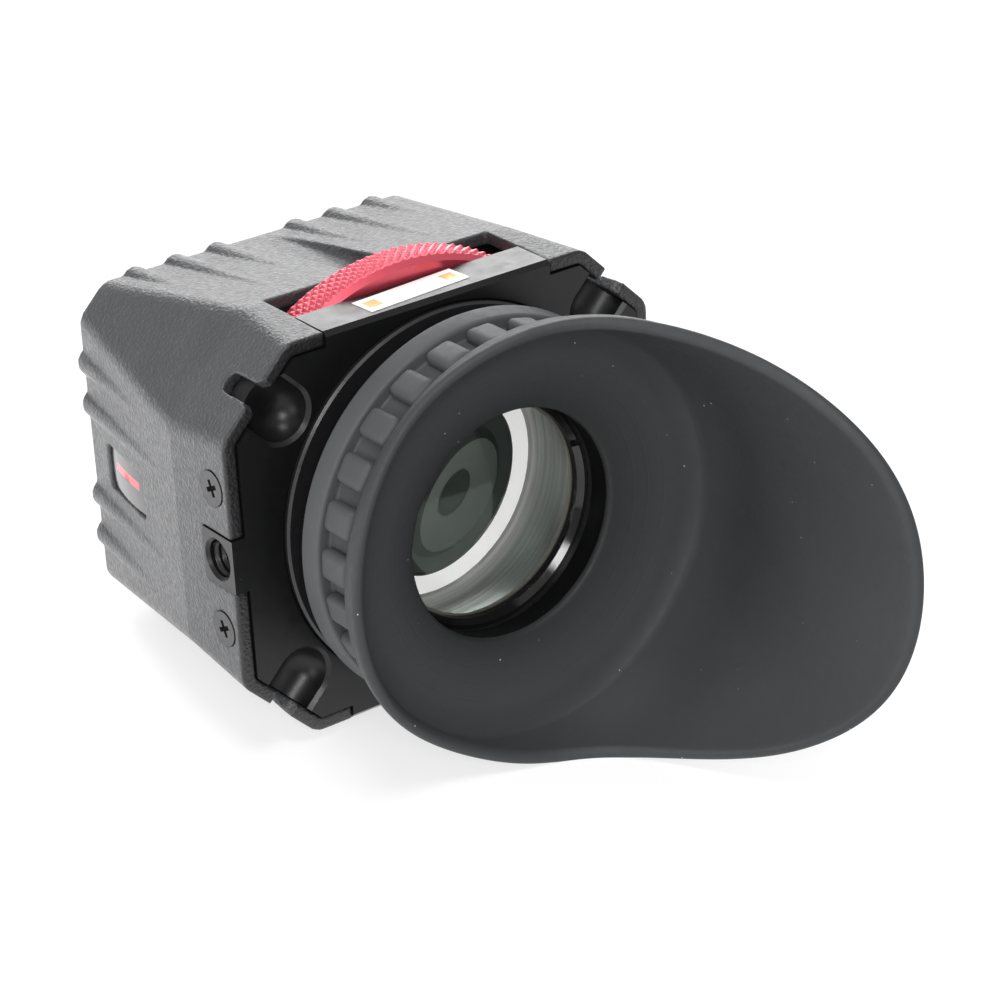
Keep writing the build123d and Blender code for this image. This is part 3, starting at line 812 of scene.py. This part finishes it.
def make_knurl():
    """The diamond knurl round the wheel: two crossed sets of helical grooves."""
    low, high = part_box("diopter_wheel")
    base = high.z / MM
    start, end = low.y / MM + knurl_margin, high.y / MM - knurl_margin
    columns = knurl_count * knurl_steps
    pitch = tau * base / knurl_count
    rows = int((end - start) / pitch * knurl_steps) + 1
    points = []
    for i in range(rows + 1):
        y = start + (end - start) * i / rows
        fade = min(1.0, min(i, rows - i) / knurl_fade_rows)
        for j in range(columns):
            angle = tau * j / columns
            along = knurl_count * j / columns
            across = (y - start) / pitch
            one = abs((along + across) % 1.0 - 0.5) * 2
            two = abs((along - across) % 1.0 - 0.5) * 2
            height = min(min(one, two) * knurl_flat, 1.0) * knurl_height * fade
            r = base + knurl_gap + height
            points.append((r * cos(angle), y, r * sin(angle)))
    knurl = mesh_object("wheel_knurl", points, grid_faces(rows + 1, columns), smooth=False)
    place(knurl, "wheel", "red_anodised", finishes["red_anodised"])


# Threads in the side holes


def make_thread(sign):
    """The helical thread in one side hole."""
    columns, per_turn = 48, 8
    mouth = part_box("front_plate")[1].x / MM - thread_inset
    rows = int(thread_length / thread_pitch * per_turn)
    height = at_depth(thread_depth)
    points = []
    for i in range(rows + 1):
        along = thread_length * i / rows
        for j in range(columns):
            turn = j / columns
            wave = abs((along / thread_pitch - turn) % 1.0 - 0.5) * 2
            r = thread_radius - thread_height * wave
            angle = tau * turn
            points.append((sign * (mouth - along), height + r * cos(angle), r * sin(angle)))
    side = "left" if sign < 0 else "right"
    thread = mesh_object("thread_" + side, points, grid_faces(rows + 1, columns))
    place(thread, "housing", "black_metal", finishes["black_steel"])


# Stage


def floor_surface():
    """An overexposed white table: pale shadows to the camera, strong bounce to the object."""
    f = Finish("white_table", (0.93, 0.93, 0.93), 0.55, Specular_IOR_Level=0.25)
    glow = f.node("ShaderNodeEmission")
    bounce = f.ramp(f.axis("Y"), *bounce_span, *floor_bounce)
    f.link(f.by_ray(floor_glow, bounce), glow.inputs["Strength"])
    f.surface = f.mix_shaders(floor_share, f.surface, glow.outputs[0])
    return f.done()


def make_floor():
    mesh = bpy.data.meshes.new("floor")
    corners = [(x * floor_reach, y * floor_reach) for x, y in ((-1, -1), (1, -1), (1, 1), (-1, 1))]
    y0, z0 = (v * MM for v in floor_contact)
    mesh.from_pydata([(x, y, z0 + floor_slope * (y - y0)) for x, y in corners], [], [(0, 1, 2, 3)])
    floor = bpy.data.objects.new("floor", mesh)
    floor.data.materials.append(floor_surface())
    bpy.context.scene.collection.objects.link(floor)


def make_lamp(name, place_m, target_m, size, power):
    lamp = bpy.data.lights.new(name, "AREA")
    lamp.shape = "RECTANGLE"
    lamp.size, lamp.size_y = size
    lamp.energy = power
    holder = bpy.data.objects.new(name, lamp)
    holder.location = place_m
    aim = Vector(target_m) - Vector(place_m)
    holder.rotation_euler = aim.to_track_quat("-Z", "Y").to_euler()
    bpy.context.scene.collection.objects.link(holder)


def make_world():
    """White to the camera. To everything else, a room brighter overhead and behind the screen."""
    world = bpy.data.worlds.new("studio")
    bpy.context.scene.world = world
    world.use_nodes = True
    room = Nodes(world.node_tree, "Generated")
    above = room.ramp(room.axis("Z"), *above_span, 0.0, room_above)
    behind = room.ramp(room.axis("Y"), *behind_span, 0.0, room_behind)
    level = room.math("ADD", room.math("ADD", above, behind), room_level)
    background = room.tree.nodes["Background"]
    background.inputs["Color"].default_value = (1, 1, 1, 1)
    room.link(room.by_ray(backdrop_glow, level), background.inputs["Strength"])


def make_camera():
    data = bpy.data.cameras.new("camera")
    data.sensor_width = 36.0
    data.lens = camera_lens
    data.clip_start, data.clip_end = 0.01, 20.0
    camera = bpy.data.objects.new("camera", data)
    camera.location = [v * MM for v in camera_place]
    level = Euler((pi / 2 - radians(camera_elevation), 0, -radians(camera_azimuth)), "XYZ").to_matrix()
    camera.rotation_euler = (level @ Matrix.Rotation(radians(camera_roll), 3, "Z")).to_euler()
    bpy.context.scene.collection.objects.link(camera)
    bpy.context.scene.camera = camera


def make_stage():
    make_floor()
    make_world()
    make_camera()
    for lamp in lamps:
        make_lamp(*lamp)
    bpy.context.scene.view_settings.view_transform = "Standard"


dress_cad_nodes()
make_eyecup()
make_knurl()
make_thread(-1)
make_thread(1)
make_stage()
